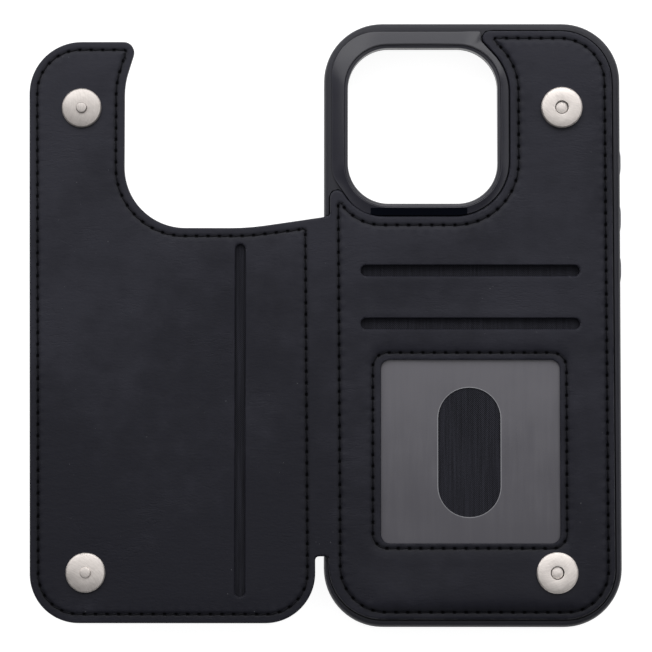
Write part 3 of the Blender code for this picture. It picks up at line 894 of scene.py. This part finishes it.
def stitchTree():
    tree = bpy.data.node_groups.new("stitchRun", "GeometryNodeTree")
    face = tree.interface
    face.new_socket("Seam", in_out="INPUT", socket_type="NodeSocketGeometry")
    sizes = {"Stitches": 100, "Length": 0.002, "Width": 0.0005, "Height": 0.0004, "Slant": 0.1, "Seed": 7}
    for name, value in sizes.items():
        kind = "NodeSocketInt" if isinstance(value, int) else "NodeSocketFloat"
        face.new_socket(name, in_out="INPUT", socket_type=kind).default_value = value
    face.new_socket("Thread", in_out="INPUT", socket_type="NodeSocketMaterial")
    face.new_socket("Stitches", in_out="OUTPUT", socket_type="NodeSocketGeometry")

    def add(kind, settings=None, links=None):
        node = tree.nodes.new(kind)
        for key, value in (settings or {}).items():
            setattr(node, key, value)
        for key, value in (links or {}).items():
            if isinstance(value, bpy.types.NodeSocket):
                tree.links.new(value, node.inputs[key])
            else:
                node.inputs[key].default_value = value
        return node

    given = add("NodeGroupInput").outputs
    count = {"Curve": given["Seam"], "Count": given["Stitches"]}
    points = add("GeometryNodeResampleCurve", {"mode": "COUNT"}, count)
    tangent = {"Vector": add("GeometryNodeInputTangent").outputs[0]}
    aligned = add("FunctionNodeAlignRotationToVector", {"axis": "X", "pivot_axis": "Z"}, tangent)
    unevenness = {2: -0.07, 3: 0.07, "Seed": given["Seed"]}
    spread = add("FunctionNodeRandomValue", {"data_type": "FLOAT"}, unevenness)
    slant = add("ShaderNodeMath", {"operation": "ADD"}, {0: given["Slant"], 1: spread.outputs[1]})
    angles = add("ShaderNodeCombineXYZ", {}, {2: slant.outputs[0]})
    euler = add("FunctionNodeEulerToRotation", {}, {0: angles.outputs[0]})
    turns = {0: aligned.outputs[0], 1: euler.outputs[0]}
    turned = add("FunctionNodeRotateRotation", {"rotation_space": "LOCAL"}, turns)
    bead = add("GeometryNodeMeshUVSphere", {}, {"Segments": 8, "Rings": 5, "Radius": 0.5})
    size = add("ShaderNodeCombineXYZ", {}, {0: given["Length"], 1: given["Width"], 2: given["Height"]})
    shaped = add("GeometryNodeTransform", {}, {"Geometry": bead.outputs[0], "Scale": size.outputs[0]})
    placed = add("GeometryNodeInstanceOnPoints", {}, {
        "Points": points.outputs[0], "Instance": shaped.outputs[0], "Rotation": turned.outputs[0],
    })
    real = add("GeometryNodeRealizeInstances", {}, {0: placed.outputs[0]})
    smoothed = add("GeometryNodeSetShadeSmooth", {}, {"Geometry": real.outputs[0]})
    finished = {"Geometry": smoothed.outputs[0], "Material": given["Thread"]}
    done = add("GeometryNodeSetMaterial", {}, finished)
    add("NodeGroupOutput", {}, {0: done.outputs[0]})
    return tree


stitchGroup = stitchTree()


stitching = {  # the seam, the leather under it, body, seed, slant, share of the pitch, width
    "wallet": (walletSeam, walletTop, "case", 3, 0.10, 0.86, 0.30),
    "window": (windowSeam, walletTop, "case", 5, 0.10, 0.86, 0.30),
    "flap": (flapSeam, flapTop, "flap", 11, 0.13, 0.84, 0.42),
}


def asPiece(name, mesh, material, body, node):
    piece = newObject(name, mesh, material)
    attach(piece, body)
    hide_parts(node)


# One thread over each gap between two holes of a seam, as long as a share of the pitch.
def makeStitches(edge, seam, top, body, seed, slant, share, width):
    name = edge + "_stitches"
    dense = spaced(seam["path"], seam["count"] * 8, 4.0)[0]
    curve = bpy.data.curves.new(name, "CURVE")
    curve.dimensions = "3D"
    spline = curve.splines.new("POLY")
    spline.points.add(len(dense) - 1)
    for point, place in zip(spline.points, rowFrame(lifted(dense, top(dense) + 0.04))):
        point.co = (*place, 1)
    spline.use_cyclic_u = True
    line = bpy.data.objects.new(name + "_line", curve)
    bpy.context.scene.collection.objects.link(line)
    modifier = line.modifiers.new("Stitches", "NODES")
    modifier.node_group = stitchGroup
    values = {
        "Stitches": seam["count"], "Length": seam["pitch"] * share * mm, "Width": width * mm,
        "Height": 0.34 * mm, "Slant": slant, "Seed": seed, "Thread": thread,
    }
    for item in stitchGroup.interface.items_tree:
        if item.in_out == "INPUT" and item.name in values:
            modifier[item.identifier] = values[item.name]
    graph = bpy.context.evaluated_depsgraph_get()
    mesh = bpy.data.meshes.new_from_object(line.evaluated_get(graph))
    bpy.data.objects.remove(line, do_unlink=True)
    mesh.name = name
    asPiece(name, mesh, thread, body, edge + "_thread")


for edge, settings in stitching.items():
    makeStitches(edge, *settings)
print("stitches made")


def cutWith(obj, cutters):
    for cutter in cutters:
        modifier = obj.modifiers.new(cutter.name, "BOOLEAN")
        modifier.operation = "DIFFERENCE"
        modifier.solver = "EXACT"
        modifier.object = cutter
    graph = bpy.context.evaluated_depsgraph_get()
    mesh = bpy.data.meshes.new_from_object(obj.evaluated_get(graph))
    for helper in [obj, *cutters]:
        bpy.data.objects.remove(helper, do_unlink=True)
    return mesh


shell = {
    "profile": [
        (1.1, 0), (0.62, 0.10), (0.28, 0.36), (0.08, 0.8), (0, 1.6), (0, 9.4),
        (0.04, 10.3), (0.14, 11.0), (0.34, 11.6), (0.62, 12.0), (0.95, 12.23), (1.3, rimTop),
    ],
    "corner": 14.8,
    "wall": 1.95,
    "cavity": (1.5, 9.7),
    "lip": 0.9,
    "seat": 11.1,
    "relief": 11.7,  # the wall is lower beside the spine
    "reliefEnds": (-59.3, 27.6),
    "reliefX": -35.5,
    "ports": [(0.0, 13.0, 6.4), (16.5, 12.0, 3.0), (-14.0, 6.0, 3.0)],  # middle, length, width
    "portFlare": ((0.5, 0.6), (0.28, 0.0), (0.05, -0.35), (0, -0.7), (0, -4.0)),
    "portHeight": 5.6,
}
buttons = {  # middle along Y, length, side
    "action_button": (41.5, 7.0, 1),
    "volume_up_button": (27.2, 7.3, 1),
    "volume_down_button": (14.1, 7.0, 1),
    "side_button": (20.0, 10.5, -1),
}
buttonShape = {"width": 2.9, "proud": 0.6, "gap": 0.15, "flange": 0.7, "crown": 0.5}


# Puts a flat loop on the shell's side wall, at a depth outwards from the wall's inner face.
def sideways(loop, side, middle, depth):
    x = side * (shellHalf.x - shell["wall"] + depth)
    return np.column_stack([np.full(len(loop), x), middle + loop[:, 0], shell["portHeight"] + loop[:, 1]])


def buttonLoop(length, spread, count=64):
    half, width = length / 2 + spread, buttonShape["width"] / 2 + spread
    return spaced(rounded(stadium((-half, -width, half, width))), count)[0]


def makeShell():
    count = 320
    plain = bpy.data.materials.new("cutting")
    rings = [flatLoop(shellOutline(inset), z, count) for inset, z in shell["profile"]]
    body = newObject("phone_shell_blank", loftMesh("blank", rings), plain)

    def prism(name, corners, *heights):
        loops = [flatLoop(grown(corners, grow) if grow else corners, z, 240) for grow, z in heights]
        return newObject(name, loftMesh(name, loops), plain)

    low, high = shell["cavity"]
    wall, seat, relief = shell["wall"], shell["seat"], shell["relief"]
    reliefBox = (-shellHalf.x - 2, shell["reliefEnds"][0], shell["reliefX"], shell["reliefEnds"][1])
    cutters = [
        prism(
            "cavity", shellOutline(wall), (-0.5, low), (-0.1, low + 0.25), (0, low + 0.6),
            (0, high - 0.6), (-0.15, high - 0.2), (-0.5, high),
        ),
        prism(
            "front", shellOutline(wall + shell["lip"]),
            (0.35, -0.3), (0.3, -0.02), (0.05, 0.35), (0, 0.7), (0, low + 1),
        ),
        prism(
            "walletSeat", wallet["corners"],
            (0.3, seat), (0.3, rimTop - 0.12), (0.40, rimTop + 0.02), (0.5, rimTop + 0.4),
        ),
        prism("guardSeat", guard["corners"], (0.03, seat), (0.03, rimTop + 0.4)),
        prism(
            "camera", rectangle(guard["opening"], guard["openingCorner"]),
            (0.3, high - 1.2), (0.02, high + 0.2), (0, high + 0.5), (0, rimTop + 1),
        ),
        prism("relief", rectangle(reliefBox, 0.3), (0, relief), (0, rimTop + 1)),
    ]
    for index, (middle, length, width) in enumerate(shell["ports"]):
        outline = spaced(rounded(stadium((-length / 2, -width / 2, length / 2, width / 2))), 72)[0]
        loops = []
        for grow, depth in shell["portFlare"]:
            x, z = (outline * (1 + 2 * grow / np.array((length, width)))).T
            y = np.full(len(outline), -shellHalf.y - depth)
            loops.append(np.column_stack([middle + x, y, shell["portHeight"] + z]))
        cutters.append(newObject(f"port{index}", loftMesh("port", loops), plain))
    for name, (middle, length, side) in buttons.items():
        loop = buttonLoop(length, buttonShape["gap"])
        slot = [sideways(loop, side, middle, depth) for depth in (-1, wall + 1)]
        cutters.append(newObject(name + "Slot", loftMesh("slot", slot), plain))
        seat = [sideways(buttonLoop(length, 1.0), side, middle, depth) for depth in (-1, 0.9)]
        cutters.append(newObject(name + "Seat", loftMesh("seat", seat), plain))
    mesh = cutWith(body, cutters)
    mesh.shade_smooth()
    mesh.set_sharp_from_angle(angle=math.radians(28))
    mesh.name = "phone_tray"
    asPiece("phone_tray", mesh, moulded, "case", "phone_shell")


def makeButtons():
    for name, (middle, length, side) in buttons.items():
        out = shell["wall"] + buttonShape["proud"]
        flange, rise = buttonShape["flange"], buttonShape["crown"]
        loops = []
        for spread, depth in ((flange, 0.2), (flange, 0.75), (0, 0.76)):
            loops.append(sideways(buttonLoop(length, spread), side, middle, depth))
        for angle in np.radians((0, 12, 25, 38, 50, 62, 74, 84)):
            crown = buttonLoop(length, 0) * (math.cos(angle) ** 0.7, math.cos(angle) ** 0.55)
            loops.append(sideways(crown, side, middle, out - rise + rise * math.sin(angle)))
        mesh = loftMesh(name, loops, sharp=40)
        asPiece(name.replace("_button", "_key"), mesh, buttonSatin, name, name)


# A ramp climbs to a crest round the camera opening, then comes a chamfer and an upright inner wall.
def makeGuard():
    low, top = levels("camera_guard")
    count = 360
    left, bottom, right, high = guard["opening"]
    centre = np.array(((left + right) / 2, (bottom + high) / 2))
    angles = np.linspace(0, 2 * math.pi, count, endpoint=False)
    rays = np.column_stack([np.cos(angles), np.sin(angles)])

    def crossing(loop):
        ends = np.roll(loop, -1, 0)
        reach = np.zeros(count)
        for start, end in zip(loop, ends):
            side = end - start
            base = rays[:, 0] * side[1] - rays[:, 1] * side[0]
            with np.errstate(divide="ignore", invalid="ignore"):
                offset = start - centre
                distance = (offset[0] * side[1] - offset[1] * side[0]) / base
                share = (offset[0] * rays[:, 1] - offset[1] * rays[:, 0]) / base
            hit = (abs(base) > 1e-12) & (distance > 0) & (share >= -1e-9) & (share <= 1 + 1e-9)
            reach = np.where(hit, np.maximum(reach, distance), reach)
        return reach

    outline = rounded(guard["corners"])
    outer = crossing(outline)
    inner = crossing(rounded(rectangle(guard["opening"], guard["openingCorner"])))
    foot = centre + rays * outer[:, None]
    beside = 1 - smooth(toLoop(foot, walletOutline)[0], 0.8, 4.0)
    kernel = np.hanning(25) / np.hanning(25).sum()
    beside = np.convolve(np.concatenate([beside[-12:], beside, beside[:12]]), kernel, "valid")
    edgeZ = rimTop + 0.04 + beside * (faceTop - 0.25 - rimTop)

    def ring(reach, height):
        return lifted(centre + rays * reach[:, None], height)

    crest = inner + guard["crest"]
    loops = [ring(outer, low), ring(outer, edgeZ - 0.1), ring(outer - 0.05, edgeZ - 0.02)]
    loops.append(ring(outer - 0.14, edgeZ))
    for share in (0.12, 0.3, 0.5, 0.7, 0.88, 0.97):
        reach = outer - 0.14 + (crest - outer + 0.14) * share
        loops.append(ring(reach, edgeZ + (top - edgeZ) * (0.8 * share + 0.2 * share**2)))
    for reach, depth in ((0, 0), (0.12, 0.03), (0.26, 0.28), (0.34, 0.42), (0.46, 0.47)):
        loops.append(ring(crest - reach, top - depth))
    for reach, depth in ((0.3, 0.48), (0.1, 0.56), (0, 0.8)):
        loops.append(ring(inner + reach, top - depth))
    loops.append(ring(inner, low))
    mesh = loftMesh("camera_bezel", loops, ringProfile=True, sharp=32)
    asPiece("camera_bezel", mesh, guardSatin, "case", "camera_guard")


makeShell()
makeButtons()
makeGuard()
print("shell, keys and bezel made")


# Painted light: the per-snap factors below scale each snap's nickel colour, darker on the upper pair and
# brighter on the lower pair, standing in for how the lamps fall on them.
socket = {
    "radius": 5.2, "bevel": 0.32, "wall": 0.4, "hole": 1.7, "post": 1.56, "postDepth": 0.72, "stem": 0.9,
    "paintedLightLevel": {"upper": 0.90, "lower": 1.15},
}
stud = {
    "radius": 5.0, "bevel": 0.32, "nub": 1.4, "hole": 1.05, "stem": 0.9,
    "paintedLightLevel": {"upper": 0.70, "lower": 1.0},
}


def turnedPiece(name, profile, place, nickel, body, node, ringProfile=True):
    mesh = turnedMesh(name, profile, place, ringProfile, 96 if ringProfile else 64)
    asPiece(name, mesh, nickel, body, node)


def rimProfile(r, bevel, top):  # the rounded outer edge of a snap's top
    steps = ((bevel, 0), (bevel * 0.86, 0.02), (0.07, bevel * 0.78), (0, bevel))
    return [(r - inward, top - down) for inward, down in steps]


def makeSnaps():
    for index, (name, place) in enumerate(sockets.items()):
        low, top = levels(name + "_socket_cover")
        nickel = nickelFinish(f"nickel{index}", place, 1.0 + index, socket["paintedLightLevel"][name])
        r, bevel, wall, hole = (socket[key] for key in ("radius", "bevel", "wall", "hole"))
        cover = [(hole, top - 0.06), (hole + 0.06, top - 0.01), (hole + 0.16, top)]
        cover += rimProfile(r, bevel, top)
        cover += [(r, low), (r - wall, low), (r - wall, top - wall), (hole, top - wall)]
        turnedPiece(name + "_socket_cap", cover, place, nickel, "case", name + "_socket_cover")
        node = name + "_socket_base"
        foot, _ = levels(node)
        post, stem, plate = socket["post"], socket["stem"], r - wall - 0.1
        tip = top - socket["postDepth"]
        profile = [(0.001, tip), (post - 0.18, tip), (post - 0.05, tip - 0.05), (post, tip - 0.2)]
        profile += [(post, low + 0.3), (plate, low + 0.3), (plate, low), (stem, low)]
        profile += [(stem, foot), (0.001, foot)]
        turnedPiece(name + "_socket_post", profile, place, nickel, "case", node, False)
    for index, (name, place) in enumerate(studs.items()):
        low, top = levels(name + "_stud_disc")
        nickel = nickelFinish(f"nickel{index + 2}", place, 3.0 + index, stud["paintedLightLevel"][name])
        r, bevel, hole, nub, stem = (stud[key] for key in ("radius", "bevel", "hole", "nub", "stem"))
        disc = [(hole, top), *rimProfile(r, bevel, top), (r, low), (hole, low)]
        turnedPiece(name + "_stud_plate", disc, place, nickel, "flap", name + "_stud_disc")
        node = name + "_stud_nub"
        foot, tip = levels(node)
        profile = [(0.001, tip), (nub - 0.55, tip), (nub - 0.22, tip - 0.06), (nub - 0.06, tip - 0.2)]
        profile += [(nub, tip - 0.42), (nub, top + 0.05), (stem, top + 0.05), (stem, foot), (0.001, foot)]
        turnedPiece(name + "_stud_pin", profile, place, nickel, "flap", node, False)


makeSnaps()

carried = {
    lining: ["wallet_backing", "rear_pocket_lining", "front_pocket_lining", "flap_pocket_lining"],
    frosted: ["id_window_film"],
    board: ["flap_board"],
    steel: [name for name in nodes if name.endswith("_washer")],
    ferrite: [name for name in nodes if name.endswith("_magnet")],
}
for material, names in carried.items():
    for name in names:
        nodes[name].data.materials.clear()
        nodes[name].data.materials.append(material)
print("snaps made, linings finished")


studio = {
    "camera": (-34.36, -45.77, 788.4),  # from the middle of the shell
    "tilt": (3.326, 0.204, 0.026),
    "lens": 169.4,
    "world": 0.17,
    "floor": 0.35,
    "floorHalf": 3.0,
    "glow": 0.92,
    "softbox": {"place": (-0.04, 0.42, 0.34), "size": (2.2, 0.42), "power": 6.2},
    "overhead": {"place": (0.10, 0.42, 1.25), "size": (2.1, 1.5), "power": 8.8},
}


def makeCamera():
    data = bpy.data.cameras.new("camera")
    data.lens, data.sensor_width = studio["lens"], 36.0
    data.clip_start, data.clip_end = 0.01, 20.0
    camera = bpy.data.objects.new("camera", data)
    camera.location = (Vector(studio["camera"]) + Vector((middleX, 0, 0))) * mm
    camera.rotation_euler = [math.radians(value) for value in studio["tilt"]]
    bpy.context.scene.collection.objects.link(camera)
    bpy.context.scene.camera = camera


def makeFloor():
    finish = Finish("paleFloor", [studio["floor"]] * 3, 0.9, specular=0.1)
    finish.shader.inputs["Emission Color"].default_value = (1, 1, 1, 1)
    finish.shader.inputs["Emission Strength"].default_value = studio["glow"]
    mesh = bpy.data.meshes.new("floor")
    half = studio["floorHalf"]
    corners = [(-half, -half, 0), (half, -half, 0), (half, half, 0), (-half, half, 0)]
    mesh.from_pydata(corners, [], [(0, 1, 2, 3)])
    newObject("floor", mesh, finish.material)


def areaLight(name, place, size, power):
    data = bpy.data.lights.new(name, "AREA")
    data.shape, data.size, data.size_y, data.energy = "RECTANGLE", size[0], size[1], power
    light = bpy.data.objects.new(name, data)
    light.location = place
    light.rotation_euler = (-Vector(place)).to_track_quat("-Z", "Y").to_euler()
    bpy.context.scene.collection.objects.link(light)


def makeLight():
    world = bpy.data.worlds.new("studio")
    world.use_nodes = True
    background = world.node_tree.nodes["Background"]
    background.inputs["Color"].default_value = (0.97, 0.98, 1, 1)
    background.inputs["Strength"].default_value = studio["world"]
    bpy.context.scene.world = world
    for name in ("softbox", "overhead"):
        areaLight(name, **studio[name])
    bpy.context.scene.view_settings.view_transform = "Standard"


makeCamera()
makeFloor()
makeLight()
print("scene ready")
